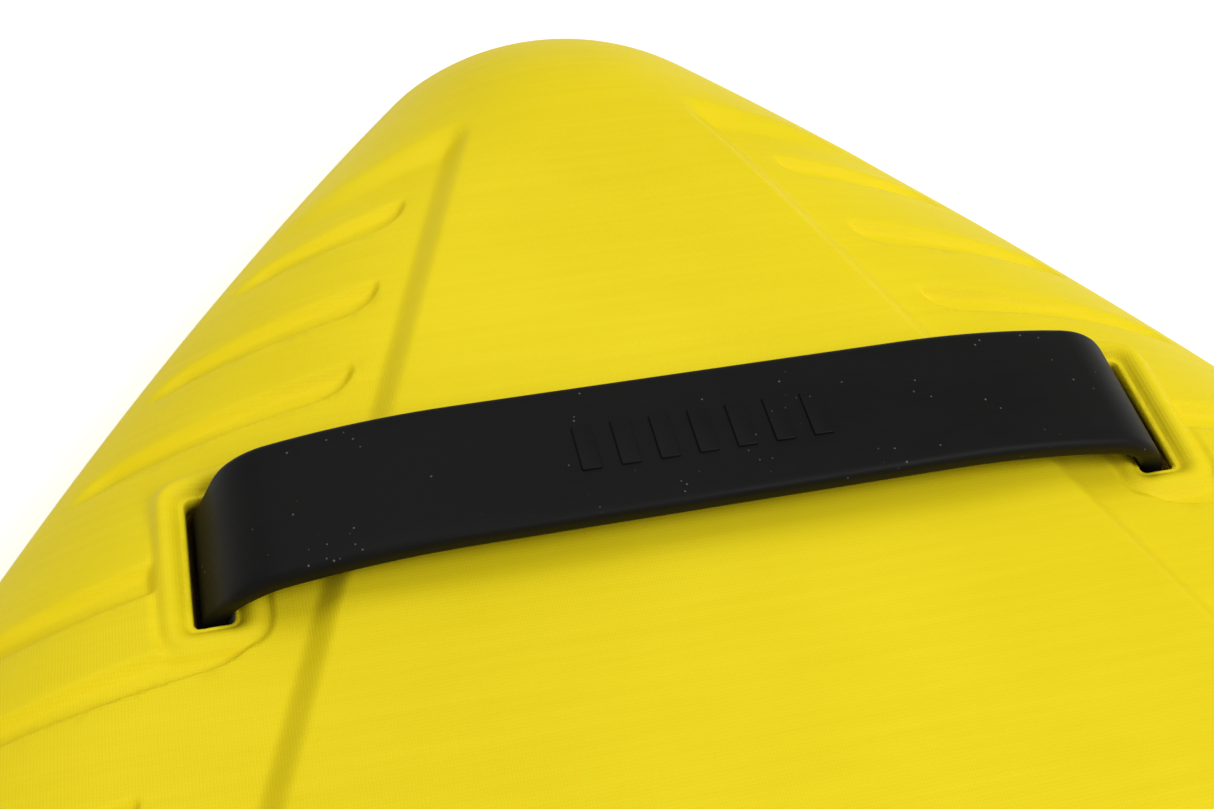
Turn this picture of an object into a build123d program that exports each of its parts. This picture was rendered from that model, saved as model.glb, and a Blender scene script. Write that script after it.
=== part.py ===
"""Hand-strap streamline board: a delta-shaped foam float with a rubber hand strap.

Frame: millimetres, +Z up, +Y towards the nose, origin at the bottom centre of the whole part.
The board lies with its flat underside on z = 0.  One strap crosses the crown, goes down a slot on
each side and is held under a plate in the underside by a cross bar.
"""
from build123d import *
from math import cos, hypot, radians, sin
import os

os.makedirs("parts", exist_ok=True)

# ---------------------------------------------------------------- driving sizes: board
board_length = 320.0
board_width = 280.0
nose_radius = 36.0
side_radius = 680.0
hip_radius = 180.0
hip_from_tail = 88.0
corner_radius = 48.0
tail_radius = 420.0

crown_height = 34.2
panel_height = 31.6
rim_height = 14.2
rim_radius = 8.6
rim_band = 6.3
keel_radius = 12.0
dome_width = 34.0
skin_thickness = 3.0

# ---------------------------------------------------------------- driving sizes: crown and grooves
strap_from_nose = 108.4
crown_half_width = 43.7
crown_spread = 20.0
panel_apex_from_strap = 69.0
groove_angle = 10.4
groove_from_strap = (64.3, 48.3, 34.0, 9.9, -2.1, -20.2, -37.1, -54.0)
groove_gap_from_crown = 6.3
groove_retreat = (0, 0, 0, 12, 2, 9, 18, 27)
groove_width = 6.0
groove_end_width = 4.0
groove_depth = 1.3
groove_rim_margin = 9.0

# ---------------------------------------------------------------- driving sizes: strap and slots
slot_outer_half_span = 65.0
strap_width = 19.4
strap_thickness = 3.0
strap_gap = 4.2
strap_bend_radius = 11.5
strap_shoulder_radius = 115.0
strap_shoulder_angle = 12.0
strap_bend_angle = 58.0
strap_drop_length = 4.0
strap_knee_radius = 5.0
strap_edge_round = 0.8
slot_outboard_gap = 0.8
slot_inboard_gap = 1.7
slot_end_gap = 0.4
slot_corner_radius = 1.8
ledge_width = 1.1
ledge_height = 30.0
bead_width = 3.0
bead_height = 1.7
strap_offset = -0.8

# ---------------------------------------------------------------- driving sizes: anchors
strap_lift = 5.0
bulb_diameter = 8.0
bar_diameter = 4.0
bar_length = 29.0
bar_chamfer = 0.6
plate_thickness = 2.0
plate_length = 36.0
plate_width = 20.0
plate_corner = 4.0
recess_clearance = 0.4
stop_gap = 0.3
underside_gap = 0.7

# ---------------------------------------------------------------- values worked out from them
nose_y = board_length / 2
tail_y = -board_length / 2
strap_y = nose_y - strap_from_nose
cover = 60.0

strap_under = crown_height + strap_gap
strap_top = strap_under + strap_thickness
crown_slope = sin(radians(crown_spread)) / cos(radians(crown_spread))
groove_slope = sin(radians(groove_angle)) / cos(radians(groove_angle))
leg_outer = slot_outer_half_span - slot_outboard_gap
leg_inner = leg_outer - strap_thickness
strap_flat = (
    leg_outer
    - strap_knee_radius
    - (strap_shoulder_radius - strap_bend_radius) * sin(radians(strap_shoulder_angle))
    - (strap_bend_radius - strap_knee_radius) * sin(radians(strap_bend_angle))
    - strap_drop_length * cos(radians(strap_bend_angle))
)
slot_inner = leg_inner - slot_inboard_gap
slot_width = slot_outer_half_span - slot_inner
slot_x = (slot_outer_half_span + slot_inner) / 2
slot_y = strap_y + strap_offset
slot_length = strap_width + 2 * slot_end_gap
bulb_x = (leg_outer + leg_inner) / 2
bulb_z = underside_gap + bulb_diameter / 2
plate_under = bulb_z + bulb_diameter / 2 + strap_lift + stop_gap
plate_top = plate_under + plate_thickness

ledge_size = (slot_width + 2 * ledge_width, slot_length + 2 * ledge_width)
bead_size = (ledge_size[0] + 2 * bead_width, ledge_size[1] + 2 * bead_width)
ledge_corner = slot_corner_radius + ledge_width
bead_corner = ledge_corner + bead_width
recess_size = (plate_width + 2 * recess_clearance, plate_length + 2 * recess_clearance)
recess_corner = plate_corner + recess_clearance


def kissing_centre(first, first_reach, second, second_reach, turn):
    """Centre that lies first_reach from one point and second_reach from the other."""
    dx = second[0] - first[0]
    dy = second[1] - first[1]
    gap = hypot(dx, dy)
    along = (first_reach**2 - second_reach**2 + gap**2) / (2 * gap)
    off = turn * (first_reach**2 - along**2) ** 0.5
    return (first[0] + (along * dx + off * dy) / gap, first[1] + (along * dy - off * dx) / gap)


def toward(centre, other, reach):
    """Point at a given distance from centre, on the ray from centre through other."""
    dx = other[0] - centre[0]
    dy = other[1] - centre[1]
    return (centre[0] + reach * dx / hypot(dx, dy), centre[1] + reach * dy / hypot(dx, dy))


def middle(centre, start, end, radius):
    """Middle point of the arc about centre that runs from start to end."""
    return toward(centre, ((start[0] + end[0]) / 2, (start[1] + end[1]) / 2), radius)


def half_outline(inset):
    """Arcs of the right-hand plan outline, each as start, middle and end, from nose to tail."""
    nose_c = (0, nose_y - nose_radius)
    hip_c = (board_width / 2 - hip_radius, tail_y + hip_from_tail)
    side_c = kissing_centre(nose_c, side_radius - nose_radius, hip_c, side_radius - hip_radius, 1)
    tail_c = (0, tail_y + tail_radius)
    corner_c = kissing_centre(hip_c, hip_radius - corner_radius, tail_c, tail_radius - corner_radius, 1)
    nose_start = (0, nose_y - inset)
    side_start = toward(side_c, nose_c, side_radius - inset)
    hip_start = toward(side_c, hip_c, side_radius - inset)
    corner_start = toward(hip_c, corner_c, hip_radius - inset)
    tail_start = toward(tail_c, corner_c, tail_radius - inset)
    tail_end = (0, tail_y + inset)
    runs = [
        (nose_c, nose_start, side_start, nose_radius),
        (side_c, side_start, hip_start, side_radius),
        (hip_c, hip_start, corner_start, hip_radius),
        (corner_c, corner_start, tail_start, corner_radius),
        (tail_c, tail_start, tail_end, tail_radius),
    ]
    return [(start, middle(c, start, end, r - inset), end) for c, start, end, r in runs]


def board_blank(inset, top):
    """Cushion-edged board, smaller all round by inset, with its flat top at a given height."""
    edge_r = rim_radius - inset
    keel_r = keel_radius - inset
    reach = dome_width - inset
    rise = top - rim_height
    run = reach - edge_r
    dome_r = (run**2 + rise**2 - edge_r**2) / (2 * (rise - edge_r))
    dome_c = (-reach, top - dome_r)
    edge_c = (-edge_r, rim_height)
    kiss = toward(dome_c, edge_c, dome_r)
    keel_c = (-keel_r, inset + keel_r)
    with BuildPart() as blank:
        with BuildLine() as path:
            for start, mid, end in half_outline(inset):
                ThreePointArc(start, mid, end)
            mirror(about=Plane.YZ)
        start_plane = Plane(origin=(0, nose_y - inset, 0), x_dir=(0, 1, 0), z_dir=(1, 0, 0))
        with BuildSketch(start_plane):
            with BuildLine():
                Line((-reach - 1, inset), (-keel_r, inset))
                ThreePointArc((-keel_r, inset), toward(keel_c, (0, inset), keel_r), (0, keel_c[1]))
                Line((0, keel_c[1]), (0, rim_height))
                ThreePointArc((0, rim_height), middle(edge_c, (0, rim_height), kiss, edge_r), kiss)
                ThreePointArc(kiss, middle(dome_c, kiss, (-reach, top), dome_r), (-reach, top))
                Line((-reach, top), (-reach - 1, top))
                Line((-reach - 1, top), (-reach - 1, inset))
            make_face()
        sweep(path=path.wire())
        with BuildSketch(Plane.XY.offset(inset)):
            with BuildLine():
                for start, mid, end in half_outline(dome_width):
                    ThreePointArc(start, mid, end)
                mirror(about=Plane.YZ)
            make_face()
        extrude(amount=top - inset)
    return blank.part


def crown_edge(y):
    """Half width of the crown at a station along the board."""
    return crown_half_width - (y - strap_y) * crown_slope


def panel_region():
    """Plan area of the right-hand side panel, from the crown edge and front step outwards."""
    apex_y = strap_y + panel_apex_from_strap
    apex_x = crown_edge(apex_y)
    reach = board_width
    back_y = tail_y - cover
    step_y = apex_y - (reach - apex_x) * groove_slope
    with BuildSketch() as region:
        with BuildLine():
            Polyline(
                (apex_x, apex_y),
                (crown_edge(back_y), back_y),
                (reach, back_y),
                (reach, step_y),
                close=True,
            )
        make_face()
    return region.sketch


def outline_area(inset):
    """Plan area inside the board outline, smaller all round by inset."""
    with BuildSketch() as area:
        with BuildLine():
            for start, mid, end in half_outline(inset):
                ThreePointArc(start, mid, end)
            mirror(about=Plane.YZ)
        make_face()
    return area.sketch


def groove_area(from_strap, retreat):
    """Plan area of one tapered grip groove on the right-hand panel, out past the rim."""
    gap = (groove_gap_from_crown + retreat) / cos(radians(crown_spread))
    axis_y = strap_y + from_strap
    start_x = (crown_half_width - (axis_y - strap_y) * crown_slope + gap) / (1 - groove_slope * crown_slope)
    start = (start_x, axis_y - start_x * groove_slope)
    end = (board_width / 2, axis_y - board_width / 2 * groove_slope)
    inner = toward(start, end, groove_width / 2)
    with BuildSketch() as area:
        with Locations(inner):
            Circle(groove_width / 2)
        with Locations(end):
            Circle(groove_end_width / 2)
        make_hull()
    return area.sketch


# ---------------------------------------------------------------- the moulded board as one envelope
with BuildPart() as panel_cutter:
    with BuildSketch(Plane.XY.offset(rim_height + rim_band)):
        add(panel_region())
        mirror(about=Plane.YZ)
    extrude(amount=crown_height)
    add(board_blank(0, panel_height), mode=Mode.SUBTRACT)

with BuildPart() as groove_cutter:
    for from_strap, retreat in zip(groove_from_strap, groove_retreat):
        add(groove_area(from_strap, retreat))
    extrude(amount=crown_height)
    mirror(about=Plane.YZ)
    with BuildSketch():
        add(outline_area(groove_rim_margin))
    extrude(amount=crown_height, mode=Mode.INTERSECT)
    with Locations((0, 0, -groove_depth)):
        add(board_blank(0, panel_height), mode=Mode.SUBTRACT)

with BuildPart() as openings:
    slot_spots = [(-slot_x, slot_y), (slot_x, slot_y)]
    with BuildSketch():
        with Locations(*slot_spots):
            RectangleRounded(slot_width, slot_length, slot_corner_radius)
    extrude(amount=ledge_height + bead_height + cover)
    with BuildSketch(Plane.XY.offset(ledge_height)):
        with Locations(*slot_spots):
            RectangleRounded(ledge_size[0], ledge_size[1], ledge_corner)
    extrude(amount=cover)
    with BuildSketch():
        with Locations(*[(side * bulb_x, slot_y) for side in (-1, 1)]):
            RectangleRounded(recess_size[0], recess_size[1], recess_corner)
    extrude(amount=plate_top)

with BuildPart() as envelope:
    add(board_blank(0, crown_height))
    add(panel_cutter.part, mode=Mode.SUBTRACT)
    add(groove_cutter.part, mode=Mode.SUBTRACT)
    with BuildSketch(Plane.XY.offset(plate_top)):
        with Locations(*slot_spots):
            RectangleRounded(bead_size[0], bead_size[1], bead_corner)
    extrude(amount=ledge_height + bead_height - plate_top)
    add(openings.part, mode=Mode.SUBTRACT)

# ---------------------------------------------------------------- foam core and its two skins
core_blank = board_blank(skin_thickness, panel_height - skin_thickness)

with BuildPart() as foam_core:
    add(core_blank)
    add(openings.part, mode=Mode.SUBTRACT)

with BuildPart() as skins:
    add(envelope.part)
    add(core_blank, mode=Mode.SUBTRACT)

with BuildPart() as top_skin:
    add(skins.part)
    split(bisect_by=Plane.XY.offset(rim_height), keep=Keep.TOP)

with BuildPart() as bottom_skin:
    add(skins.part)
    split(bisect_by=Plane.XY.offset(rim_height), keep=Keep.BOTTOM)


# ---------------------------------------------------------------- strap, moulded in one piece
def around(centre, radius, angle):
    """Point at a radius from a centre, at an angle in degrees from straight up towards the right."""
    return (centre[0] + radius * sin(radians(angle)), centre[1] + radius * cos(radians(angle)))


def strap_half(depth):
    """Draws the right half of the strap's long section at a depth below its outer face."""
    lean = strap_shoulder_angle
    drop = strap_bend_angle
    shoulder_c = (strap_flat, strap_top - strap_shoulder_radius)
    bend_c = around(shoulder_c, strap_shoulder_radius - strap_bend_radius, lean)
    drop_end = around(around(bend_c, strap_bend_radius, drop), strap_drop_length, drop + 90)
    knee_c = around(drop_end, -strap_knee_radius, drop)
    shoulder_r = strap_shoulder_radius - depth
    bend_r = strap_bend_radius - depth
    knee_r = strap_knee_radius - depth
    crown = (0, strap_top - depth)
    flat_end = around(shoulder_c, shoulder_r, 0)
    kiss = around(shoulder_c, shoulder_r, lean)
    bend_end = around(bend_c, bend_r, drop)
    knee_start = around(knee_c, knee_r, drop)
    knee_end = around(knee_c, knee_r, 90)
    foot = (knee_end[0], bulb_z)
    Line(crown, flat_end)
    ThreePointArc(flat_end, around(shoulder_c, shoulder_r, lean / 2), kiss)
    ThreePointArc(kiss, around(bend_c, bend_r, (lean + drop) / 2), bend_end)
    Line(bend_end, knee_start)
    ThreePointArc(knee_start, around(knee_c, knee_r, (drop + 90) / 2), knee_end)
    Line(knee_end, foot)
    return foot


with BuildPart() as hand_strap:
    with BuildSketch(Plane.XZ.offset(-slot_y - strap_width / 2)):
        with BuildLine():
            Line(strap_half(0), strap_half(strap_thickness))
            mirror(about=Plane.YZ)
        make_face()
    extrude(amount=strap_width)
    fillet(hand_strap.faces().filter_by(Axis.Y).edges(), strap_edge_round)
    with BuildSketch(Plane.XZ.offset(-slot_y - strap_width / 2)):
        with Locations((-bulb_x, bulb_z), (bulb_x, bulb_z)):
            Circle(bulb_diameter / 2)
    extrude(amount=strap_width)
    with BuildSketch(Plane.XZ.offset(-slot_y - strap_width / 2)):
        with Locations((-bulb_x, bulb_z), (bulb_x, bulb_z)):
            Circle(bar_diameter / 2)
    extrude(amount=strap_width, mode=Mode.SUBTRACT)

bars = {}
plates = {}
for side, sign in (("left", -1), ("right", 1)):
    with BuildPart() as bar:
        with BuildSketch(Plane.XZ.offset(-slot_y - bar_length / 2)):
            with Locations((sign * bulb_x, bulb_z)):
                Circle(bar_diameter / 2)
        extrude(amount=bar_length)
        chamfer(bar.edges().filter_by(GeomType.CIRCLE), bar_chamfer)
    bars[side] = bar

    with BuildPart() as plate:
        with BuildSketch(Plane.XY.offset(plate_under)):
            with Locations((sign * bulb_x, slot_y)):
                RectangleRounded(plate_width, plate_length, plate_corner)
            with Locations((sign * slot_x, slot_y)):
                RectangleRounded(slot_width, slot_length, slot_corner_radius, mode=Mode.SUBTRACT)
        extrude(amount=plate_thickness)
    plates[side] = plate

# ---------------------------------------------------------------- names and files
foam_core.part.label = "foam_core"
top_skin.part.label = "top_skin"
bottom_skin.part.label = "bottom_skin"
hand_strap.part.label = "hand_strap"
export_step(foam_core.part, "parts/foam_core.step")
export_step(top_skin.part, "parts/top_skin.step")
export_step(bottom_skin.part, "parts/bottom_skin.step")
export_step(hand_strap.part, "parts/hand_strap.step")
for side in bars:
    bars[side].part.label = f"anchor_bar_{side}"
    export_step(bars[side].part, f"parts/anchor_bar_{side}.step")
    plates[side].part.label = f"anchor_plate_{side}"
    export_step(plates[side].part, f"parts/anchor_plate_{side}.step")
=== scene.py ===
"""Looks of the hand-strap streamline board: knit-faced foam, moulded rubber strap, plain studio."""
import math

import bmesh
import bpy
import numpy as np
from bpy.props import FloatProperty, FloatVectorProperty
from mathutils import Matrix, Vector


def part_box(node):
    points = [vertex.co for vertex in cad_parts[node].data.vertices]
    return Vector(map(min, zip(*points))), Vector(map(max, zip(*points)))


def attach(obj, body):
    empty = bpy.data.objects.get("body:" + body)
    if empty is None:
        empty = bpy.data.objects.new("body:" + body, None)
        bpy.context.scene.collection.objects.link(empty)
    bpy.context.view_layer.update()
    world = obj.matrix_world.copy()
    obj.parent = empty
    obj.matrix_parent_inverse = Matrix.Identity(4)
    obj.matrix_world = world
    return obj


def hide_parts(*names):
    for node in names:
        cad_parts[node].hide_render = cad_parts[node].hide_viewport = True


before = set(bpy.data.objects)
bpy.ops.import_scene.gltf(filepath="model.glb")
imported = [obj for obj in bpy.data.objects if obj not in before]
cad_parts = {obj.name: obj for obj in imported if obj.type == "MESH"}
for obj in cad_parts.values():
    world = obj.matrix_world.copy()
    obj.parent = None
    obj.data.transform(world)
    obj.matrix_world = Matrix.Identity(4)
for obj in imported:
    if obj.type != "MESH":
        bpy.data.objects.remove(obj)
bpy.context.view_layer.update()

bl_info = {
    "name": "Streamline Board",
    "version": (1, 0, 0),
    "blender": (4, 5, 0),
    "location": "View3D > Sidebar > Board",
    "description": "Builds the foam board, its grooved skin, the rubber hand strap and a plain studio",
    "category": "Object",
}

STRAP_LOW, STRAP_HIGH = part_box("hand_strap")
SKIN_LOW, SKIN_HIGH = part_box("top_skin")
CORE_LOW, CORE_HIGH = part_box("foam_core")
PLATE_LOW, PLATE_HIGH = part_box("anchor_plate_right")


# ------------------------------------------------------------------------------ sizes
class BoardSizes(bpy.types.PropertyGroup):
    """Sizes of the moulded board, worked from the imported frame."""

    nose_radius: FloatProperty(
        name="Nose radius", description="Plan radius of the nose", default=0.036, unit="LENGTH"
    )
    side_radius: FloatProperty(
        name="Side radius", description="Plan radius of the long sides", default=0.680, unit="LENGTH"
    )
    hip_radius: FloatProperty(
        name="Hip radius", description="Plan radius at the widest place", default=0.180, unit="LENGTH"
    )
    hip_from_tail: FloatProperty(
        name="Hip from tail", description="Widest place, ahead of the tail", default=0.088, unit="LENGTH"
    )
    corner_radius: FloatProperty(
        name="Corner radius", description="Plan radius of the tail corners", default=0.048, unit="LENGTH"
    )
    tail_radius: FloatProperty(
        name="Tail radius", description="Plan radius of the tail edge", default=0.420, unit="LENGTH"
    )
    rim_radius: FloatProperty(
        name="Rim radius", description="Rounding at the rim", default=0.0086, unit="LENGTH"
    )
    keel_radius: FloatProperty(
        name="Keel radius", description="Rounding round the underside", default=0.012, unit="LENGTH"
    )
    dome_width: FloatProperty(
        name="Dome width", description="How far in from the rim the top keeps rising", default=0.034,
        unit="LENGTH",
    )
    panel_drop: FloatProperty(
        name="Panel drop", description="How far the side panels lie below the crown", default=0.0026,
        unit="LENGTH",
    )
    skin: FloatProperty(name="Skin", description="Thickness of the skins", default=0.003, unit="LENGTH")


class ReliefSizes(bpy.types.PropertyGroup):
    """Sizes of the crown walls, grip grooves and slot beads."""

    crown_half_width: FloatProperty(
        name="Crown half width", description="Half width of the crown at the strap", default=0.0437,
        unit="LENGTH",
    )
    crown_spread: FloatProperty(
        name="Crown spread", description="Angle between each crown edge and the centre line",
        default=math.radians(20.0), subtype="ANGLE",
    )
    wall_width: FloatProperty(
        name="Wall width", description="Plan width of the wall beside the crown", default=0.0044,
        unit="LENGTH",
    )
    step_angle: FloatProperty(
        name="Step angle", description="Sweep of the step ahead of each panel",
        default=math.radians(15.0), subtype="ANGLE",
    )
    wall_lead: FloatProperty(
        name="Wall lead", description="How far inside the crown edge the wall starts", default=0.0014,
        unit="LENGTH",
    )
    step_width: FloatProperty(
        name="Step width", description="Plan width of the step ahead of each panel", default=0.0054,
        unit="LENGTH",
    )
    apex_ahead: FloatProperty(
        name="Panel apex", description="Front of the side panels, ahead of the strap", default=0.0745,
        unit="LENGTH",
    )
    groove_angle: FloatProperty(
        name="Groove angle", description="Sweep of the grooves towards the tail",
        default=math.radians(10.4), subtype="ANGLE",
    )
    groove_gap: FloatProperty(
        name="Groove gap", description="Gap from crown edge to groove end", default=0.0063, unit="LENGTH"
    )
    groove_width: FloatProperty(
        name="Groove width", description="Width of a groove at its inner end", default=0.0058,
        unit="LENGTH",
    )
    groove_depth: FloatProperty(
        name="Groove depth", description="Depth of a groove", default=0.0015, unit="LENGTH"
    )
    groove_front: FloatProperty(
        name="Groove front", description="Plan width of a groove's front wall", default=0.0022,
        unit="LENGTH",
    )
    groove_back: FloatProperty(
        name="Groove back", description="Plan width of a groove's rear wall", default=0.0010,
        unit="LENGTH",
    )
    groove_rim_gap: FloatProperty(
        name="Groove rim gap", description="Where the grooves run out, in from the outline",
        default=0.0050, unit="LENGTH",
    )
    groove_nose: FloatProperty(
        name="Groove nose", description="Length of a groove's bullet-shaped end", default=0.0075,
        unit="LENGTH",
    )
    bead_width: FloatProperty(
        name="Bead width", description="Width of the bead round a slot", default=0.0037, unit="LENGTH"
    )
    bead_height: FloatProperty(
        name="Bead height", description="Height of the bead over the ledge", default=0.0014, unit="LENGTH"
    )
    lip_rounding: FloatProperty(
        name="Lip rounding", description="Rounding of the skin at a slot", default=0.0004, unit="LENGTH"
    )
    ledge_width: FloatProperty(
        name="Ledge width", description="Flat ledge inside the bead", default=0.0007, unit="LENGTH"
    )


class StrapSizes(bpy.types.PropertyGroup):
    """Sizes of the moulded rubber hand strap."""

    thickness: FloatProperty(name="Thickness", description="Strap thickness", default=0.003, unit="LENGTH")
    edge_rounding: FloatProperty(
        name="Edge rounding", description="Rounding of the long edges", default=0.0011, unit="LENGTH"
    )
    bend_radius: FloatProperty(
        name="Bend radius", description="Outer radius where the strap turns down", default=0.0115,
        unit="LENGTH",
    )
    bend_angle: FloatProperty(
        name="Bend angle", description="Slope of the strap as it meets the slot",
        default=math.radians(58.0), subtype="ANGLE",
    )
    drop_length: FloatProperty(
        name="Drop length", description="Straight run between bend and knee", default=0.004, unit="LENGTH"
    )
    knee_radius: FloatProperty(
        name="Knee radius", description="Outer radius where the strap turns into the slot",
        default=0.005, unit="LENGTH",
    )
    slot_waist: FloatProperty(
        name="Slot waist", description="Share by which the strap is narrower in the slots", default=0.09
    )
    middle_swell: FloatProperty(
        name="Middle swell", description="Share by which the strap is wider above the slots",
        default=0.066,
    )
    shoulder_radius: FloatProperty(
        name="Shoulder radius", description="Outer radius of the shoulders", default=0.115, unit="LENGTH"
    )
    shoulder_angle: FloatProperty(
        name="Shoulder angle", description="How far the shoulders turn", default=math.radians(12.0),
        subtype="ANGLE",
    )
    bulb_diameter: FloatProperty(
        name="Bulb", description="Diameter of the bulb on each leg", default=0.008, unit="LENGTH"
    )
    bar_diameter: FloatProperty(
        name="Bar hole", description="Hole for the anchor bar", default=0.00404, unit="LENGTH"
    )
    grip_pitch: FloatProperty(
        name="Grip pitch", description="Distance between the raised grip bars", default=0.0050,
        unit="LENGTH",
    )
    grip_width: FloatProperty(
        name="Grip width", description="Width of a grip bar", default=0.0026, unit="LENGTH"
    )
    grip_length: FloatProperty(
        name="Grip length", description="Length of a grip bar", default=0.0070, unit="LENGTH"
    )
    grip_height: FloatProperty(
        name="Grip height", description="Height of a grip bar", default=0.0003, unit="LENGTH"
    )


class FinishColours(bpy.types.PropertyGroup):
    """Colours of the board and strap."""

    skin: FloatVectorProperty(
        name="Skin", description="Knit skin colour", subtype="COLOR", size=3, default=(0.86, 0.695, 0.008)
    )
    # foam colour is darkened mostly as painted shade for the deep slots, partly the cut foam's own duller
    # tone
    foam: FloatVectorProperty(
        name="Foam", description="Cut foam colour", subtype="COLOR", size=3, default=(0.30, 0.17, 0.02)
    )
    rubber: FloatVectorProperty(
        name="Rubber", description="Strap colour", subtype="COLOR", size=3,
        default=(0.0030, 0.0030, 0.0032),
    )
    plastic: FloatVectorProperty(
        name="Plastic", description="Anchor colour", subtype="COLOR", size=3,
        default=(0.022, 0.022, 0.024),
    )


STRAP_AHEAD = 0.0008  # the relief is set out from here, ahead of the strap's middle
SLOT_PLACE = Vector((0.06255, 0.0002))  # slot middle: from the centre line, and ahead of the strap's middle
SLOT_HALF = Vector((0.00245, 0.0097))
SLOT_CORNER = 0.0009
RECESS_HALF = Vector((0.0104, 0.0184))
RECESS_CORNER = 0.0044
LEDGE_Z = 0.030  # height of the ledge round a slot
LEG_OVERLAP = 0.72  # how far up its bulb a leg ends, as a share of the bulb's radius
WAIST_BELOW = 0.0045  # depth under the crown at which the strap starts to widen
WAIST_RISE = 0.0065  # height over which it widens
GRIP_COUNT = 7
BEAD_SHARE = 0.62  # share of the bead's width that its outer skirt takes
BEAD_BLEND = 0.002  # how far past the bead its collar is still worked out
GROOVE_STOP = 0.0008  # how softly a groove stops at a bead
GROOVE_FADE = 0.004  # length over which a groove runs out at the rim
GROOVE_TAPER = 0.3  # share of its width that a groove loses
GROOVE_RUN = 0.045  # length over which it loses it

# longest edges on the plain top, the crown walls, the grooves and round the slots
PLAIN_EDGE, WALL_EDGE, GROOVE_EDGE, SLOT_EDGE = 0.0030, 0.0011, 0.00065, 0.00042
SHORTEST_EDGE = 0.00025
WALL_BAND = (-0.0006, 0.0055)
SLOT_BAND = (-0.0004, 0.006)

# each groove: where its line crosses the centre line, ahead of the strap, and how far its end is set back
GROOVES = (
    (0.0627, -0.001),
    (0.0466, -0.001),
    (0.0324, -0.001),
    (0.0107, 0.012),
    (-0.0030, 0.001),
    (-0.0210, 0.008),
    (-0.0371, 0.018),
    (-0.0540, 0.027),
)


# which way the camera looks, which way is to its right, and where it stands
VIEW = (
    Vector((0.18470, 0.61565, -0.76607)),
    Vector((0.97242, -0.22742, 0.05168)),
    Vector((-0.04836, -0.06771, 0.19673)),
)
# each lamp: name, place, size and power, aimed at the lit spot
LAMPS = (("key", (0.50, -0.40, 0.80), 0.45, 5.2), ("overhead", (-0.12, 0.30, 0.85), 0.5, 1.8))
LIT_SPOT = Vector((0, 0.02, 0.03))


def sizes():
    """The board's and the relief's property groups."""
    return bpy.context.scene.board_sizes, bpy.context.scene.relief_sizes


# ------------------------------------------------------------------------------ plan outline
def kissing_centre(first, first_reach, second, second_reach):
    """Centre at two given distances from two points, on the left of the line between them."""
    line = second - first
    gap = line.length
    along = (first_reach**2 - second_reach**2 + gap**2) / (2 * gap)
    off = math.sqrt(first_reach**2 - along**2)
    ahead = line / gap
    return first + ahead * along + Vector((ahead.y, -ahead.x)) * off


def outline_arcs():
    """Centre, radius, first and last heading of each arc of the right-hand outline, nose to tail."""
    board, _ = sizes()
    nose_y = SKIN_HIGH.y
    tail_y = SKIN_LOW.y
    nose = Vector((0, nose_y - board.nose_radius))
    hip = Vector((SKIN_HIGH.x - board.hip_radius, tail_y + board.hip_from_tail))
    side = kissing_centre(
        nose, board.side_radius - board.nose_radius, hip, board.side_radius - board.hip_radius
    )
    tail = Vector((0, tail_y + board.tail_radius))
    corner = kissing_centre(
        hip, board.hip_radius - board.corner_radius, tail, board.tail_radius - board.corner_radius
    )
    turns = [
        math.pi / 2,
        math.atan2(*(nose - side).yx),
        math.atan2(*(hip - side).yx),
        math.atan2(*(corner - hip).yx),
        math.atan2(*(corner - tail).yx),
        -math.pi / 2,
    ]
    centres = (nose, side, hip, corner, tail)
    radii = (board.nose_radius, board.side_radius, board.hip_radius, board.corner_radius, board.tail_radius)
    return [(c, r, turns[i], turns[i + 1]) for i, (c, r) in enumerate(zip(centres, radii))]


def rim_point(share, inset):
    """Point of the right-hand outline at a share of its length, moved inwards by inset."""
    arcs = outline_arcs()
    lengths = [r * (start - end) for _, r, start, end in arcs]
    left = share * sum(lengths)
    for (centre, radius, start, end), length in zip(arcs, lengths):
        if left <= length or (centre, radius) == arcs[-1][:2]:
            heading = start - left / radius
            return centre + Vector((math.cos(heading), math.sin(heading))) * (radius - inset)
        left -= length
    return centre


def rim_distance(x, y):
    """Distance in from the outline of points on the right-hand half, as arrays."""
    nearest = np.full(x.shape, 1.0)
    for centre, radius, start, end in outline_arcs():
        dx = x - centre.x
        dy = y - centre.y
        heading = np.arctan2(dy, dx)
        inside = (heading <= start + 1e-4) & (heading >= end - 1e-4)
        gap = radius - np.hypot(dx, dy)
        nearest = np.where(inside & (gap < nearest), gap, nearest)
    return nearest


# ------------------------------------------------------------------------------ surface heights
def smooth(value):
    """Smooth step from 0 to 1 as value goes from 0 to 1."""
    t = np.clip(value, 0.0, 1.0)
    return t * t * (3.0 - 2.0 * t)


def cushion(gap, top, inset=0.0):
    """Height of the rounded rim and dome at a distance in from the outline."""
    board, _ = sizes()
    rim_z = SKIN_LOW.z
    edge = board.rim_radius - inset
    reach = board.dome_width - inset
    rise = top - rim_z
    dome = ((reach - edge) ** 2 + rise**2 - edge**2) / (2 * (rise - edge))
    away = Vector((reach - edge, rise - dome)).normalized()
    kiss = edge - away.x * edge
    small = rim_z + np.sqrt(np.clip(edge**2 - (edge - gap) ** 2, 0.0, None))
    large = top - dome + np.sqrt(np.clip(dome**2 - np.clip(reach - gap, 0.0, None) ** 2, 0.0, None))
    return np.where(gap < kiss, small, large)


def strap_station():
    """Where the strap crosses the board, along Y."""
    return (STRAP_LOW.y + STRAP_HIGH.y) / 2 + STRAP_AHEAD


def slot_centre():
    """Middle of the right-hand slot."""
    return Vector((SLOT_PLACE.x, (STRAP_LOW.y + STRAP_HIGH.y) / 2 + SLOT_PLACE.y))


def recess_centre():
    """Middle of the right-hand anchor recess."""
    return Vector(((PLATE_LOW.x + PLATE_HIGH.x) / 2, (PLATE_LOW.y + PLATE_HIGH.y) / 2))


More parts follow.
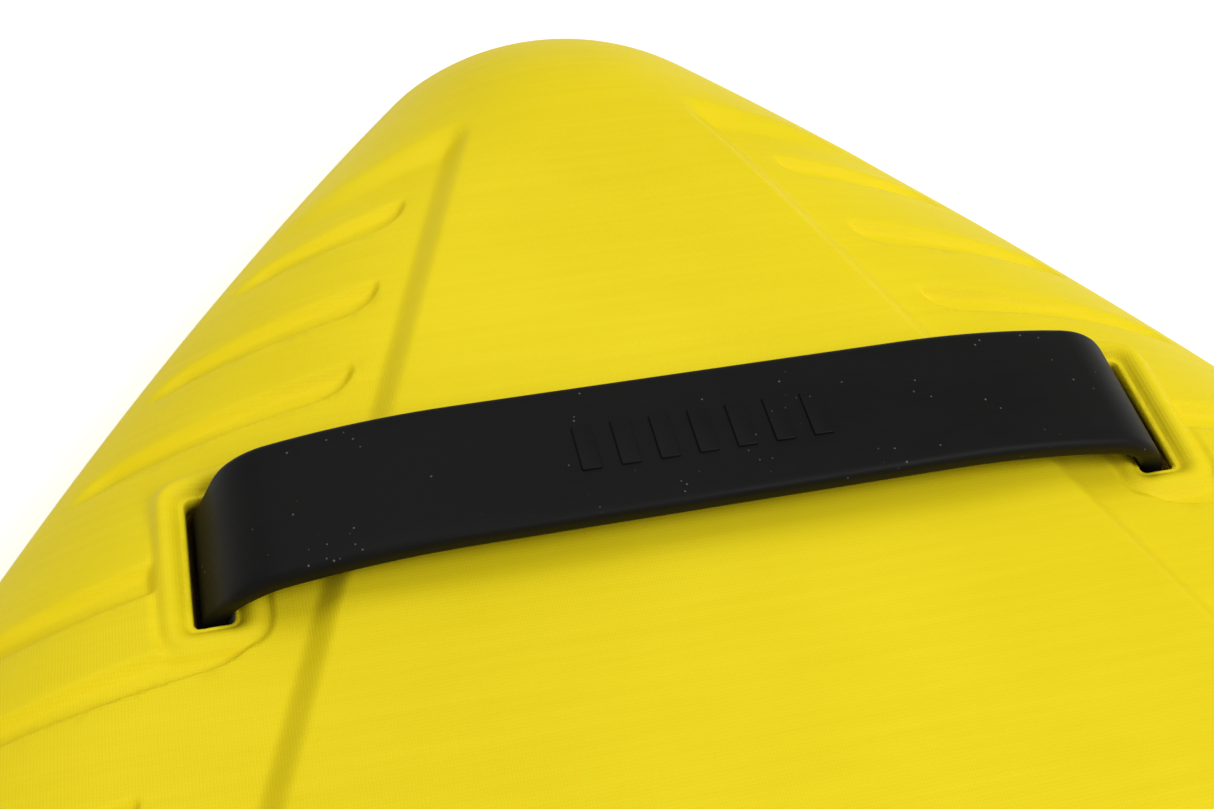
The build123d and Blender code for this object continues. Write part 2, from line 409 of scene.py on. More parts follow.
def slot_gap(x, y):
    """Distance outside the right-hand slot's edge, with square-shouldered corners and a swept front."""
    _, relief = sizes()
    centre = slot_centre()
    away = x - centre.x
    ahead = y - centre.y
    ahead = ahead + away * math.tan(relief.groove_angle) * np.clip(ahead / SLOT_HALF.y - 0.2, 0.0, 1.0)
    dx = np.abs(away) - SLOT_HALF.x + SLOT_CORNER
    dy = np.abs(ahead) - SLOT_HALF.y + SLOT_CORNER
    outside = (np.clip(dx, 0.0, None) ** 3 + np.clip(dy, 0.0, None) ** 3) ** (1 / 3)
    return outside + np.clip(np.maximum(dx, dy), None, 0.0) - SLOT_CORNER


def crown_gap(x, y):
    """Distance outside the crown edge, square to it."""
    _, relief = sizes()
    slope = math.tan(relief.crown_spread)
    square = (x + (y - strap_station()) * slope - relief.crown_half_width) * math.cos(relief.crown_spread)
    return square + relief.wall_lead


def step_gap(x, y):
    """Distance behind the front edge of the side panel, square to it."""
    _, relief = sizes()
    slope = math.tan(relief.step_angle)
    apex_y = strap_station() + relief.apex_ahead
    apex_x = relief.crown_half_width - relief.apex_ahead * math.tan(relief.crown_spread)
    return (apex_y - y - (x - apex_x) * slope) * math.cos(relief.step_angle)


def groove_mask(x, y, station, retreat):
    """How deep one groove is at each point, from 0 to 1: a soft front wall, a tight rear wall and a
    bullet-shaped inner end."""
    _, relief = sizes()
    lean = relief.groove_angle
    slope = math.tan(lean)
    spread = math.tan(relief.crown_spread)
    gap = (relief.groove_gap + retreat) / math.cos(relief.crown_spread)
    start_x = (relief.crown_half_width - station * spread + gap) / (1 - slope * spread)
    start_y = strap_station() + station - start_x * slope
    along = (x - start_x) * math.cos(lean) - (y - start_y) * math.sin(lean)
    across = (x - start_x) * math.sin(lean) + (y - start_y) * math.cos(lean)
    width = relief.groove_width * (1.0 - GROOVE_TAPER * np.clip(along / GROOVE_RUN, 0.0, 1.0))
    behind = width * 0.5 - across
    nose = np.clip(relief.groove_nose - along, 0.0, None) / relief.groove_nose
    ahead = (1.0 - np.hypot(nose, behind / width)) * width
    return smooth(behind / relief.groove_front) * smooth(ahead / relief.groove_back)


def top_height(x, y):
    """Height of the moulded top at points of either half, as arrays, in metres."""
    board, relief = sizes()
    x = np.abs(x)
    gap = np.clip(rim_distance(x, y), 0.0, None)
    crown_top = SKIN_HIGH.z
    upper = cushion(gap, crown_top)
    lower = cushion(gap, crown_top - board.panel_drop)
    wall = crown_gap(x, y) / relief.wall_width
    step = step_gap(x, y) / relief.step_width
    corner = 1.0 - np.hypot(np.clip(1.0 - wall, 0.0, None), np.clip(1.0 - step, 0.0, None))
    panel = smooth(np.where((wall < 1.0) & (step < 1.0), corner, np.minimum(wall, step)))
    height = upper + (lower - upper) * panel
    fade = smooth((gap - relief.groove_rim_gap) / GROOVE_FADE)
    groove = np.zeros_like(x)
    for station, retreat in GROOVES:
        groove = np.maximum(groove, groove_mask(x, y, station, retreat))
    ring = slot_gap(x, y)
    outer = relief.ledge_width + relief.bead_width
    clear = smooth((ring - outer + GROOVE_STOP) / (2 * GROOVE_STOP))
    height = height - relief.groove_depth * groove * fade * clear
    crest = np.clip(1.0 - ((ring - relief.ledge_width) / relief.bead_width * 2.0 - 1.0) ** 2, 0.0, 1.0)
    lip = np.clip(1.0 - ring / relief.lip_rounding, 0.0, 1.0)
    collar = LEDGE_Z + relief.bead_height * crest - relief.lip_rounding * (1.0 - np.sqrt(1.0 - lip**2))
    bead = relief.bead_width * BEAD_SHARE
    skirt = smooth((ring - relief.ledge_width - bead) / bead)
    return np.where(ring < outer + BEAD_BLEND, collar + (height - collar) * skirt, height)


def top_spacing(x, y):
    """Longest edge wanted at each point of the top: short round the slots, grooves and crown walls."""
    x = np.abs(x)
    ring = slot_gap(x, y)
    wall = crown_gap(x, y)
    longest = np.where((wall > WALL_BAND[0]) & (wall < WALL_BAND[1]), WALL_EDGE, PLAIN_EDGE)
    for station, retreat in GROOVES:
        mask = groove_mask(x, y, station, retreat)
        longest = np.where((mask > 0.0) & (mask < 1.0), GROOVE_EDGE, longest)
    return np.where((ring > SLOT_BAND[0]) & (ring < SLOT_BAND[1]), SLOT_EDGE, longest)


def wide_spacing(x, y):
    """No limit on edges."""
    return np.full(x.shape, 1.0)


def underside_height(x, y):
    """Height of the underside, with its keel rounding, as arrays."""
    board, _ = sizes()
    reach = board.keel_radius
    gap = np.clip(rim_distance(np.abs(x), y), 0.0, reach)
    return reach - np.sqrt(np.clip(reach**2 - (reach - gap) ** 2, 0.0, None))


def top_lining(x, y):
    """Height of the inner face of the top skin."""
    board, _ = sizes()
    gap = np.clip(rim_distance(np.abs(x), y) - board.skin, 0.0, None)
    return cushion(gap, CORE_HIGH.z, board.skin)


def underside_lining(x, y):
    """Height of the inner face of the bottom skin."""
    board, _ = sizes()
    reach = board.keel_radius - board.skin
    gap = np.clip(rim_distance(np.abs(x), y) - board.skin, 0.0, reach)
    return board.keel_radius - np.sqrt(np.clip(reach**2 - (reach - gap) ** 2, 0.0, None))


# ------------------------------------------------------------------------------ mesh tools
def new_object(name, bm, material, body):
    """Turns a bmesh into a smooth piece that rides on a body."""
    mesh = bpy.data.meshes.new(name)
    bm.to_mesh(mesh)
    bm.free()
    for face in mesh.polygons:
        face.use_smooth = True
    piece = bpy.data.objects.new(name, mesh)
    bpy.context.scene.collection.objects.link(piece)
    mesh.materials.append(material)
    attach(piece, body)
    return piece


def lift(bm, verts, height):
    """Moves vertices to the height that a function gives for their places."""
    verts = list(verts)
    x = np.array([v.co.x for v in verts])
    y = np.array([v.co.y for v in verts])
    for vert, z in zip(verts, height(x, y)):
        vert.co.z = z


def rim_web(bm, rungs, rings, ribs, inset=0.0):
    """Half board in plan: rungs from the outline in to the centre line, close together at the rim."""
    board, _ = sizes()
    steps = rings + ribs
    made = bmesh.ops.create_grid(bm, x_segments=rungs, y_segments=steps, size=1.0)["verts"]
    reach = board.dome_width - inset
    front = SKIN_HIGH.y - board.dome_width - 0.002
    back = SKIN_LOW.y + board.dome_width + 0.010
    for vert in made:
        share = (vert.co.x + 1.0) / 2
        step = round((vert.co.y + 1.0) / 2 * steps)
        depth = inset + reach * (min(step, rings) / rings) ** 1.8
        point = rim_point(share, depth)
        inner = Vector((0.0, front + (back - front) * share))
        blend = max(step - rings, 0) / ribs
        place = point.lerp(inner, blend)
        vert.co = (max(place.x, 0.0), place.y, 0.0)
    for vert in made:
        if vert.co.x < 1e-6:
            vert.co.x = 0.0
    return made


def refine(bm, height, tolerance, spacing, rounds):
    """Splits edges longer than the spacing, and those that the surface between their ends strays from."""
    for _ in range(rounds):
        edges = list(bm.edges)
        a = np.array([e.verts[0].co[:] for e in edges])
        b = np.array([e.verts[1].co[:] for e in edges])
        length = np.hypot(a[:, 0] - b[:, 0], a[:, 1] - b[:, 1])
        stray = np.zeros(len(edges))
        for share in (0.25, 0.5, 0.75):
            p = a + (b - a) * share
            line = height(a[:, 0], a[:, 1]) * (1 - share) + height(b[:, 0], b[:, 1]) * share
            stray = np.maximum(stray, np.abs(height(p[:, 0], p[:, 1]) - line))
        middle = (a + b) / 2
        longest = spacing(middle[:, 0], middle[:, 1])
        split = ((stray > tolerance) & (length > SHORTEST_EDGE * 2)) | (length > longest)
        chosen = [e for e, s in zip(edges, split) if s]
        if not chosen:
            return
        bmesh.ops.subdivide_edges(bm, edges=chosen, cuts=1, use_grid_fill=True)
        crowded = [f for f in bm.faces if len(f.verts) > 4]
        bmesh.ops.triangulate(bm, faces=crowded)


def open_edges(bm, wanted):
    """Edges with one face whose two ends both pass a test."""
    return [e for e in bm.edges if e.is_boundary and wanted(e.verts[0].co) and wanted(e.verts[1].co)]


def box_gap(x, y, centre, half, corner):
    """Distance outside a rounded rectangle, negative inside it."""
    dx = np.abs(x - centre.x) - half.x + corner
    dy = np.abs(y - centre.y) - half.y + corner
    outside = np.hypot(np.clip(dx, 0.0, None), np.clip(dy, 0.0, None))
    return outside + np.clip(np.maximum(dx, dy), None, 0.0) - corner


def touches(face, centre, half):
    """Whether a face's plan box overlaps a rectangle."""
    spots = [vert.co.xy - centre for vert in face.verts]
    return all(min(s[i] for s in spots) < half[i] and max(s[i] for s in spots) > -half[i] for i in (0, 1))


def cut_hole(bm, centre, half, corner, turns=4):
    """Cuts a rounded rectangular hole through a flat sheet, with planes laid round its edge."""
    core = half - Vector((corner, corner))
    planes = []
    for step in range(4 * turns):
        heading = math.tau * step / (4 * turns)
        out = Vector((math.cos(heading), math.sin(heading)))
        knee = Vector((math.copysign(core.x, out.x), math.copysign(core.y, out.y)))
        planes.append((centre + knee + out * corner, out))
    for spot, out in planes:
        faces = [f for f in bm.faces if touches(f, centre, half)]
        edges = {e for f in faces for e in f.edges}
        verts = {v for f in faces for v in f.verts}
        bmesh.ops.bisect_plane(
            bm, geom=[*verts, *edges, *faces], dist=1e-6, plane_co=spot.to_3d(), plane_no=out.to_3d()
        )
    inside = [
        f
        for f in bm.faces
        if all((f.calc_center_median().xy - spot).dot(out) < 0 for spot, out in planes)
    ]
    bmesh.ops.delete(bm, geom=inside, context="FACES")


def half_sheet(web, inset, height, tolerance, spacing, rounds, hole):
    """Half of a skin surface: a web refined to its relief, with its hole cut and its height set."""
    bm = bmesh.new()
    rim_web(bm, *web, inset)
    bmesh.ops.remove_doubles(bm, verts=bm.verts, dist=1e-6)
    refine(bm, height, tolerance, spacing, rounds)
    cut_hole(bm, *hole)
    crowded = [f for f in bm.faces if len(f.verts) > 4]
    bmesh.ops.triangulate(bm, faces=crowded)
    lift(bm, bm.verts, height)
    return bm


def closed_skin(outer, inner, hole, seam_z):
    """Mirrors an outer and an inner half sheet and joins them at the seam and round both holes."""
    for sheet in (outer, inner):
        bmesh.ops.mirror(sheet, geom=[*sheet.verts, *sheet.edges, *sheet.faces], axis="X", merge_dist=1e-6)
        bmesh.ops.remove_doubles(sheet, verts=sheet.verts, dist=1e-6)
    mesh = bpy.data.meshes.new("inner")
    inner.to_mesh(mesh)
    inner.free()
    outer.from_mesh(mesh)
    bpy.data.meshes.remove(mesh)
    centre, half, corner = hole

    def at_hole(co):
        return box_gap(abs(co.x), co.y, centre, half, corner) < 0.0005

    rim = open_edges(outer, lambda co: not at_hole(co))
    moved = bmesh.ops.extrude_edge_only(outer, edges=rim)["geom"]
    for vert in (v for v in moved if isinstance(v, bmesh.types.BMVert)):
        vert.co.z = seam_z
    rim = open_edges(outer, lambda co: not at_hole(co))
    bmesh.ops.bridge_loops(outer, edges=rim)
    for side in (-1, 1):
        bmesh.ops.bridge_loops(outer, edges=open_edges(outer, lambda co: co.x * side > 0))
    bmesh.ops.remove_doubles(outer, verts=outer.verts, dist=1e-7)
    bmesh.ops.dissolve_degenerate(outer, dist=1e-8, edges=outer.edges)
    bmesh.ops.recalc_face_normals(outer, faces=outer.faces)
    return outer


# ------------------------------------------------------------------------------ shader maths
class Wire:
    """A socket that takes part in Python expressions, each of which adds a Math node."""

    def __init__(self, tree, socket):
        self.tree = tree
        self.socket = socket

    def math(self, operation, *others):
        """Adds one Math node with this socket first."""
        node = self.tree.nodes.new("ShaderNodeMath")
        node.operation = operation
        for slot, value in enumerate((self, *others)):
            put(self.tree, node.inputs[slot], value)
        return Wire(self.tree, node.outputs[0])

    def __add__(self, other):
        return self.math("ADD", other)

    def __radd__(self, other):
        return self.math("ADD", other)

    def __mul__(self, other):
        return self.math("MULTIPLY", other)

    def __rmul__(self, other):
        return self.math("MULTIPLY", other)


def put(tree, socket, value):
    """Sets a socket's value, or links a wire or a socket to it."""
    if isinstance(value, Wire):
        tree.links.new(value.socket, socket)
    elif isinstance(value, bpy.types.NodeSocket):
        tree.links.new(value, socket)
    else:
        socket.default_value = value


class Finish:
    """A node material built from plain calls."""

    def __init__(self, name):
        self.material = bpy.data.materials.new(name)
        self.material.use_nodes = True
        self.tree = self.material.node_tree
        self.tree.nodes.clear()
        self.output = self.tree.nodes.new("ShaderNodeOutputMaterial")

    def add(self, kind, inputs, settings=None, stops=None):
        """Any node: its type, the values or links of its sockets, its settings and its ramp stops."""
        node = self.tree.nodes.new(kind)
        for name, value in (settings or {}).items():
            setattr(node, name, value)
        if stops:
            ramp = node.color_ramp
            while len(ramp.elements) < len(stops):
                ramp.elements.new(1.0)
            for element, (place, value) in zip(ramp.elements, stops):
                element.position = place
                element.color = (value, value, value, 1.0)
        for name, value in inputs.items():
            put(self.tree, node.inputs[name], value)
        return node

    def node(self, kind, stops=None, **inputs):
        """The first output of a new node, with its sockets by name."""
        named = {name.replace("_", " "): value for name, value in inputs.items()}
        return Wire(self.tree, self.add(kind, named, stops=stops).outputs[0])

    def place(self, scale=(1.0, 1.0, 1.0)):
        """Object coordinates, stretched by a Mapping node."""
        spot = self.add("ShaderNodeTexCoord", {}).outputs["Object"]
        return self.node("ShaderNodeMapping", Vector=spot, Scale=scale)

    def axes(self, vector):
        """X, Y and Z of a vector as wires."""
        return [Wire(self.tree, out) for out in self.add("ShaderNodeSeparateXYZ", {0: vector}).outputs]

    def blend(self, share, first, second):
        """Mixes two colours."""
        ends = [(*c, 1.0) if isinstance(c, tuple) else c for c in (first, second)]
        inputs = {0: share, 6: ends[0], 7: ends[1]}
        return Wire(self.tree, self.add("ShaderNodeMix", inputs, {"data_type": "RGBA"}).outputs[2])

    def bump(self, height, distance, strength):
        """A Bump node."""
        return self.node("ShaderNodeBump", Height=height, Distance=distance, Strength=strength)

    def surface(self, **inputs):
        """Principled surface with sockets by name, wired to the output."""
        shader = self.node("ShaderNodeBsdfPrincipled", **inputs)
        self.tree.links.new(shader.socket, self.output.inputs[0])
        return self.material


# ------------------------------------------------------------------------------ materials
def knit_skin():
    """Fine jersey knit bonded to foam: tiny ribs, faint mottling and a few specks."""
    base = tuple(bpy.context.scene.finish_colours.skin)
    make = Finish("knit_skin")
    spot = make.place()
    sway = make.node("ShaderNodeTexNoise", Vector=spot, Scale=60.0, Detail=2.0)
    x, y, _ = make.axes(spot)
    wale = ((x * 16500.0) + (sway * 3.0)).math("SINE")
    course = ((y * 13500.0) + (sway * 3.0)).math("SINE")
    stitch = wale * 0.5 + course * 0.5
    grain = make.node("ShaderNodeTexNoise", Vector=spot, Scale=1500.0, Detail=2.0)
    mottle = make.node("ShaderNodeTexNoise", Vector=spot, Scale=22.0, Detail=4.0)
    rows = make.node(
        "ShaderNodeTexNoise", Vector=make.place(scale=(40.0, 900.0, 40.0)), Scale=1.0, Detail=1.0
    )
    speck = make.node("ShaderNodeTexVoronoi", Vector=spot, Scale=55.0)
    dot = make.node("ShaderNodeValToRGB", stops=((0.0, 1.0), (0.018, 1.0), (0.028, 0.0)), Fac=speck)
    rare = make.node("ShaderNodeTexNoise", Vector=spot, Scale=31.0, Detail=0.0)
    few = make.node("ShaderNodeValToRGB", stops=((0.0, 0.0), (0.66, 0.0), (0.68, 1.0)), Fac=rare)
    tone = make.node(
        "ShaderNodeValToRGB", stops=((0.3, 0.0), (0.7, 1.0)), Fac=mottle * 0.75 + rows * 0.25
    )
    pale = tuple(min(1.0, c * 1.05 + 0.006) for c in base)
    deep = (base[0] * 0.955, base[1] * 0.945, base[2] * 0.8)
    colour = make.blend(tone, deep, pale)
    colour = make.blend((stitch * 0.5 + 0.5) * 0.06, colour, (base[0] * 0.7, base[1] * 0.62, 0.0))
    colour = make.blend(dot * few * 0.75, colour, (0.07, 0.05, 0.02))
    relief = make.bump(stitch + grain * 0.6, 0.00003, 0.42)
    return make.surface(
        Base_Color=colour,
        Roughness=make.node("ShaderNodeMapRange", Value=grain, To_Min=0.50, To_Max=0.62),
        Specular_IOR_Level=0.12,
        Subsurface_Weight=0.08,
        Subsurface_Radius=(1.0, 0.55, 0.05),
        Subsurface_Scale=0.0016,
        Normal=relief,
    )


def cut_foam_and_slot_shade():
    """Die-cut closed-cell foam: open cells and ragged; its colour is darker than the skin mostly as painted
    shade for the deep slots, partly the cut foam's own duller tone.
    """
    base = tuple(bpy.context.scene.finish_colours.foam)
    make = Finish("cut_foam_and_slot_shade")
    spot = make.place()
    cells = make.node("ShaderNodeTexVoronoi", Vector=spot, Scale=2600.0)
    torn = make.node("ShaderNodeTexNoise", Vector=spot, Scale=500.0, Detail=5.0, Roughness=0.7)
    shade = make.node("ShaderNodeValToRGB", stops=((0.25, 0.0), (0.75, 1.0)), Fac=torn)
    colour = make.blend(shade, tuple(c * 0.45 for c in base), tuple(c * 1.5 for c in base))
    return make.surface(
        Base_Color=colour,
        Roughness=0.9,
        Specular_IOR_Level=0.2,
        Normal=make.bump(cells * 0.8 + torn, 0.0003, 0.8),
    )


def strap_rubber():
    """Matte moulded rubber: fine mould grain, faint rubbed patches and pale dust."""
    base = tuple(bpy.context.scene.finish_colours.rubber)
    make = Finish("strap_rubber")
    spot = make.place()
    grain = make.node("ShaderNodeTexNoise", Vector=spot, Scale=2200.0, Detail=3.0)
    rub = make.node("ShaderNodeTexNoise", Vector=spot, Scale=70.0, Detail=6.0, Roughness=0.65)
    scuff = make.node(
        "ShaderNodeTexNoise", Vector=make.place(scale=(160.0, 1500.0, 160.0)), Scale=1.0, Detail=2.0
    )
    dust = make.node("ShaderNodeTexVoronoi", Vector=spot, Scale=650.0, Randomness=1.0)
    flecks = make.node("ShaderNodeValToRGB", stops=((0.0, 1.0), (0.06, 1.0), (0.11, 0.0)), Fac=dust)
    where = make.node("ShaderNodeTexNoise", Vector=spot, Scale=150.0, Detail=2.0)
    some = make.node("ShaderNodeValToRGB", stops=((0.0, 0.0), (0.53, 0.0), (0.58, 1.0)), Fac=where)
    worn = make.node("ShaderNodeValToRGB", stops=((0.35, 0.0), (0.75, 1.0)), Fac=rub * 0.7 + scuff * 0.3)
    colour = make.blend(worn * 0.6, base, tuple(c * 1.9 + 0.002 for c in base))
    colour = make.blend(flecks * some * 0.7, colour, (0.16, 0.16, 0.15))
    return make.surface(
        Base_Color=colour,
        Roughness=0.50 + worn * 0.12,
        Specular_IOR_Level=0.13,
        Normal=make.bump(grain, 0.00003, 0.5),
    )


def anchor_plastic():
    """Moulded nylon: satin, with a fine spark grain."""
    base = tuple(bpy.context.scene.finish_colours.plastic)
    make = Finish("anchor_plastic")
    spot = make.place()
    grain = make.node("ShaderNodeTexNoise", Vector=spot, Scale=3200.0, Detail=2.0)
    tone = make.node("ShaderNodeTexNoise", Vector=spot, Scale=120.0, Detail=3.0)
    return make.surface(
        Base_Color=make.blend(tone, tuple(c * 0.8 for c in base), tuple(c * 1.3 for c in base)),
        Roughness=0.36 + grain * 0.14,
        Normal=make.bump(grain, 0.00002, 0.5),
    )


def studio_white():
    """Plain paper sweep."""
    make = Finish("studio_white")
    return make.surface(
        Base_Color=(0.9, 0.9, 0.9, 1.0),
        Roughness=0.9,
        Specular_IOR_Level=0.1,
        Emission_Color=(1.0, 1.0, 1.0, 1.0),
        Emission_Strength=0.40,
    )


# ------------------------------------------------------------------------------ pieces
class BOARD_OT_top_skin(bpy.types.Operator):
    """Builds the moulded top skin with its crown, panels, grooves and slot beads"""

    bl_idname = "board.top_skin"
    bl_label = "Top skin"

    def execute(self, context):
        board, _ = sizes()
        hole = (slot_centre(), SLOT_HALF, SLOT_CORNER)
        outer = half_sheet((180, 22, 26), 0.0, top_height, 0.000012, top_spacing, 6, hole)
        inner = half_sheet((90, 8, 10), board.skin, top_lining, 0.0003, wide_spacing, 2, hole)
        bm = closed_skin(outer, inner, hole, SKIN_LOW.z)
        skin = new_object("moulded_top_skin", bm, knit_skin(), "board")
        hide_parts("top_skin")
        return {"FINISHED"}


class BOARD_OT_bottom_skin(bpy.types.Operator):
    """Builds the smooth bottom skin with its anchor recesses"""

    bl_idname = "board.bottom_skin"
    bl_label = "Bottom skin"

    def execute(self, context):
        board, _ = sizes()
        hole = (recess_centre(), RECESS_HALF, RECESS_CORNER)
        outer = half_sheet((150, 20, 14), 0.0, underside_height, 0.00005, wide_spacing, 3, hole)
        inner = half_sheet((90, 10, 8), board.skin, underside_lining, 0.0003, wide_spacing, 2, hole)
        bm = closed_skin(outer, inner, hole, SKIN_LOW.z)
        skin = new_object("moulded_bottom_skin", bm, bpy.data.materials["knit_skin"], "board")
        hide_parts("bottom_skin")
        return {"FINISHED"}


def round_section(bm, low, high, rounding, place):
    """Edges of a rounded rectangle between two corners, with each point put through place."""
    middle = (low + high) / 2
    span = high - low
    made = bmesh.ops.create_grid(bm, x_segments=1, y_segments=1, size=0.5)["verts"]
    for vert in made:
        vert.co = (middle.x + vert.co.x * span.x, middle.y + vert.co.y * span.y, 0.0)
    made = bmesh.ops.bevel(
        bm, geom=made, offset=rounding, offset_type="OFFSET", segments=5, profile=0.5, affect="VERTICES",
        material=-1,
    )["verts"]
    face = made[0].link_faces[0]
    edges = list(face.edges)
    bmesh.ops.delete(bm, geom=[face], context="FACES_ONLY")
    long_edges = [e for e in edges if e.calc_length() > 4 * rounding]
    cut = bmesh.ops.subdivide_edges(bm, edges=long_edges, cuts=9)["geom_split"]
    edges = list({*[e for e in edges if e.is_valid], *[e for e in cut if isinstance(e, bmesh.types.BMEdge)]})
    for vert in {v for e in edges for v in e.verts}:
        vert.co = place(vert.co.x, vert.co.y)
    return edges


def around(radius, angle):
    """Travel of a radius at an angle from straight up towards the right."""
    return Vector((math.sin(angle), 0.0, math.cos(angle))) * radius


def last_edges(made):
    """The edges among what an operator made."""
    return [item for item in made if isinstance(item, bmesh.types.BMEdge)]


def spin_on(bm, edges, centre, angle, steps):
    """Carries a ring of edges round an axis along Y."""
    geom = [*{v for e in edges for v in e.verts}, *edges]
    made = bmesh.ops.spin(
        bm, geom=geom, cent=centre, axis=(0.0, 1.0, 0.0), dvec=(0.0, 0.0, 0.0), angle=angle, steps=steps
    )
    return last_edges(made["geom_last"])


def push_on(bm, edges, travel, steps):
    """Carries a ring of edges along a straight line."""
    for _ in range(steps):
        made = bmesh.ops.extrude_edge_only(bm, edges=edges)["geom"]
        edges = last_edges(made)
        edges = [e for e in edges if all(v in made for v in e.verts)]
        bmesh.ops.translate(bm, verts=list({v for e in edges for v in e.verts}), vec=travel / steps)
    return edges


class BOARD_OT_strap(bpy.types.Operator):
    """Builds the moulded rubber hand strap with its bends, bulbs and raised grip bars"""

    bl_idname = "board.strap"
    bl_label = "Hand strap"

    def execute(self, context):
        strap = context.scene.strap_sizes
        front = STRAP_HIGH.y
        back = STRAP_LOW.y
        top = STRAP_HIGH.z
        bulb_r = strap.bulb_diameter / 2
        bulb = Vector((STRAP_HIGH.x - bulb_r, 0.0, STRAP_LOW.z + bulb_r))
        lean = strap.shoulder_angle
        drop = strap.bend_angle
        knee = Vector((bulb.x + strap.thickness / 2 - strap.knee_radius, 0.0, 0.0))
        fall = Vector((math.cos(drop), 0.0, -math.sin(drop))) * strap.drop_length
        bend = knee - fall - around(strap.bend_radius - strap.knee_radius, drop)
        shoulder = bend - around(strap.shoulder_radius - strap.bend_radius, lean)
        rise = Vector((0.0, 0.0, top - strap.shoulder_radius - shoulder.z))
        knee, bend, shoulder = (centre + rise for centre in (knee, bend, shoulder))

        bm = bmesh.new()
        low = Vector((back, top - strap.thickness))
        high = Vector((front, top))
        ring = round_section(bm, low, high, strap.edge_rounding, lambda a, b: Vector((0.0, a, b)))
        ring = push_on(bm, ring, Vector((shoulder.x, 0.0, 0.0)), 10)
        ring = spin_on(bm, ring, shoulder, lean, 10)
        ring = spin_on(bm, ring, bend, drop - lean, 16)
        ring = push_on(bm, ring, fall, 3)
        ring = spin_on(bm, ring, knee, math.pi / 2 - drop, 6)
        stop_z = bulb.z + bulb_r * LEG_OVERLAP
        ring = push_on(bm, ring, Vector((0.0, 0.0, stop_z - knee.z)), 6)
        bmesh.ops.holes_fill(bm, edges=ring)
        middle = (front + back) / 2
        for vert in bm.verts:
            high = float(smooth((vert.co.z - SKIN_HIGH.z + WAIST_BELOW) / WAIST_RISE))
            grow = 1.0 - strap.slot_waist + (strap.slot_waist + strap.middle_swell) * high
            vert.co.y = middle + (vert.co.y - middle) * grow
        hole = strap.bar_diameter / 2
        low = Vector((hole, back))
        high = Vector((strap.bulb_diameter / 2, front))
        ring = round_section(bm, low, high, 0.0003, lambda a, b: Vector((bulb.x + a, b, bulb.z)))
        spin_on(bm, ring, bulb, math.tau, 48)
        bmesh.ops.remove_doubles(bm, verts=bm.verts, dist=1e-6)
        bmesh.ops.mirror(bm, geom=[*bm.verts, *bm.edges, *bm.faces], axis="X", merge_dist=1e-6)

        for number in range(GRIP_COUNT):
            bar = bmesh.ops.create_cube(bm, size=1.0)["verts"]
            x = (number - GRIP_COUNT // 2) * strap.grip_pitch
            for vert in bar:
                vert.co = (
                    x + vert.co.x * strap.grip_width,
                    middle + vert.co.y * strap.grip_length,
                    top + vert.co.z * 2 * strap.grip_height,
                )
            edges = list({e for v in bar for e in v.link_edges})
            bmesh.ops.bevel(
                bm, geom=edges, offset=strap.grip_height * 0.7, offset_type="OFFSET", segments=3,
                profile=0.5, affect="EDGES", material=-1,
            )
        bmesh.ops.recalc_face_normals(bm, faces=bm.faces)
        piece = new_object("moulded_hand_strap", bm, strap_rubber(), "strap")
        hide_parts("hand_strap")
        return {"FINISHED"}


class BOARD_OT_hidden_parts(bpy.types.Operator):
    """Finishes the foam core, anchor plates and anchor bars"""

    bl_idname = "board.hidden_parts"
    bl_label = "Core and anchors"

    def execute(self, context):
        foam = cut_foam_and_slot_shade()
        plastic = anchor_plastic()
        finishes = {
            "foam_core": foam,
            "anchor_plate_left": plastic,
            "anchor_plate_right": plastic,
            "anchor_bar_left": plastic,
            "anchor_bar_right": plastic,
        }
        for name, finish in finishes.items():
            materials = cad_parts[name].data.materials
            materials.clear()
            materials.append(finish)
        return {"FINISHED"}


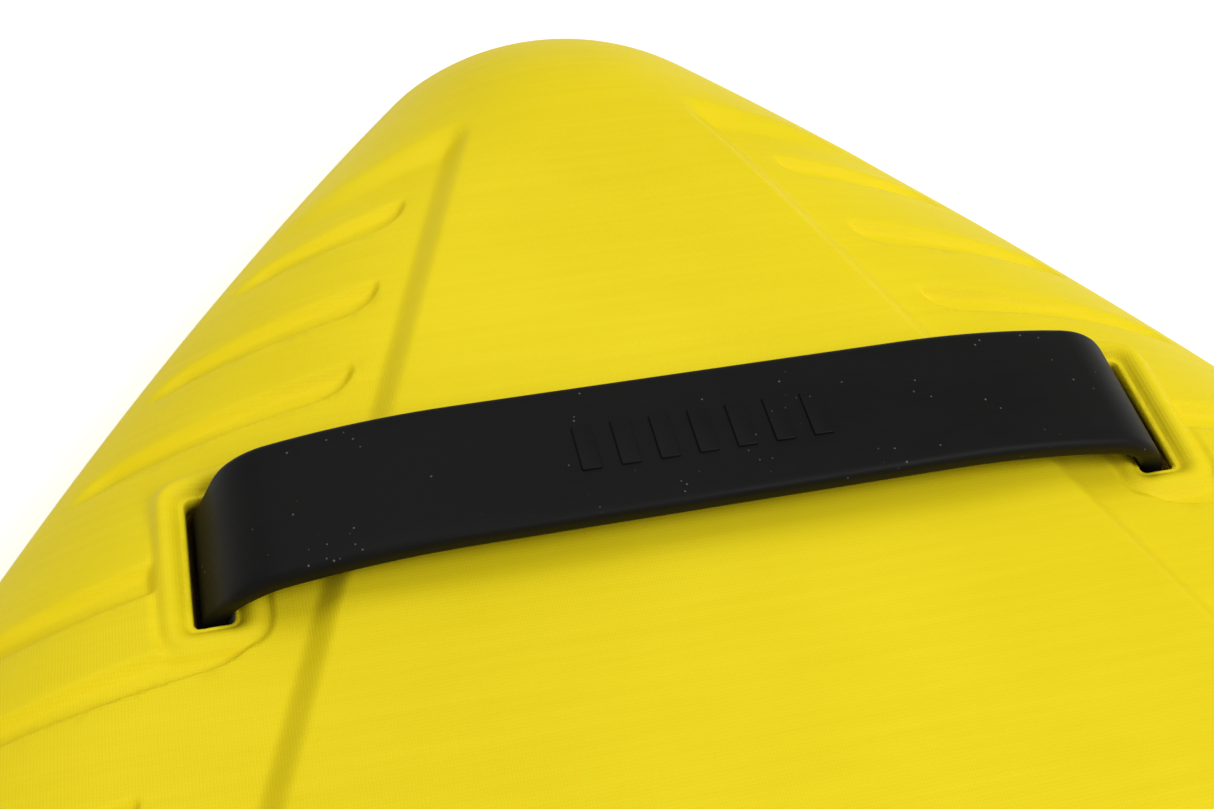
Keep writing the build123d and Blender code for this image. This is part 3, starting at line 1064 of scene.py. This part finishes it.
class BOARD_OT_stage(bpy.types.Operator):
    """Sets the camera, the white sweep and the soft lights"""

    bl_idname = "board.stage"
    bl_label = "Studio"

    def execute(self, context):
        scene = context.scene
        ahead, right, eye = VIEW
        camera = bpy.data.cameras.new("camera")
        camera.lens = 47.40
        camera.sensor_width = 36.0
        camera.clip_start = 0.01
        holder = bpy.data.objects.new("camera", camera)
        scene.collection.objects.link(holder)
        spin = Matrix((right, right.cross(ahead), -ahead)).transposed().to_4x4()
        holder.matrix_world = Matrix.Translation(eye) @ spin
        scene.camera = holder

        bm = bmesh.new()
        bmesh.ops.create_grid(bm, x_segments=2, y_segments=2, size=4.0)
        mesh = bpy.data.meshes.new("sweep")
        bm.to_mesh(mesh)
        bm.free()
        floor = bpy.data.objects.new("sweep", mesh)
        scene.collection.objects.link(floor)
        mesh.materials.append(studio_white())

        world = bpy.data.worlds.new("soft_room")
        scene.world = world
        world.use_nodes = True
        world.node_tree.nodes["Background"].inputs["Color"].default_value = (1.0, 0.98, 0.93, 1.0)
        world.node_tree.nodes["Background"].inputs["Strength"].default_value = 0.43
        for name, place, size, power in LAMPS:
            light = bpy.data.lights.new(name, "AREA")
            light.size = size
            light.energy = power
            lamp = bpy.data.objects.new(name, light)
            lamp.location = place
            lamp.rotation_euler = (LIT_SPOT - Vector(place)).to_track_quat("-Z", "Y").to_euler()
            scene.collection.objects.link(lamp)
        scene.view_settings.view_transform = "Standard"
        return {"FINISHED"}


class BOARD_PT_panel(bpy.types.Panel):
    """Lists the board's build steps and sizes"""

    bl_idname = "BOARD_PT_panel"
    bl_label = "Streamline Board"
    bl_space_type = "VIEW_3D"
    bl_region_type = "UI"
    bl_category = "Board"

    def draw(self, context):
        for operator in OPERATORS:
            self.layout.operator(operator.bl_idname)
        for name, group in GROUPS.items():
            box = self.layout.box()
            for size in group.__annotations__:
                box.prop(getattr(context.scene, name), size)


OPERATORS = (
    BOARD_OT_top_skin,
    BOARD_OT_bottom_skin,
    BOARD_OT_strap,
    BOARD_OT_hidden_parts,
    BOARD_OT_stage,
)
GROUPS = {
    "board_sizes": BoardSizes,
    "relief_sizes": ReliefSizes,
    "strap_sizes": StrapSizes,
    "finish_colours": FinishColours,
}


def register():
    """Registers the classes and hangs the property groups on the scene."""
    for kind in (*GROUPS.values(), *OPERATORS, BOARD_PT_panel):
        bpy.utils.register_class(kind)
    for name, group in GROUPS.items():
        setattr(bpy.types.Scene, name, bpy.props.PointerProperty(type=group))


def unregister():
    """Takes the property groups and classes away."""
    for name in GROUPS:
        delattr(bpy.types.Scene, name)
    for kind in (BOARD_PT_panel, *reversed(OPERATORS), *reversed(GROUPS.values())):
        bpy.utils.unregister_class(kind)


def main():
    """Builds everything in order."""
    register()
    for operator in OPERATORS:
        family, name = operator.bl_idname.split(".")
        getattr(getattr(bpy.ops, family), name)()


if __name__ == "__main__":
    main()
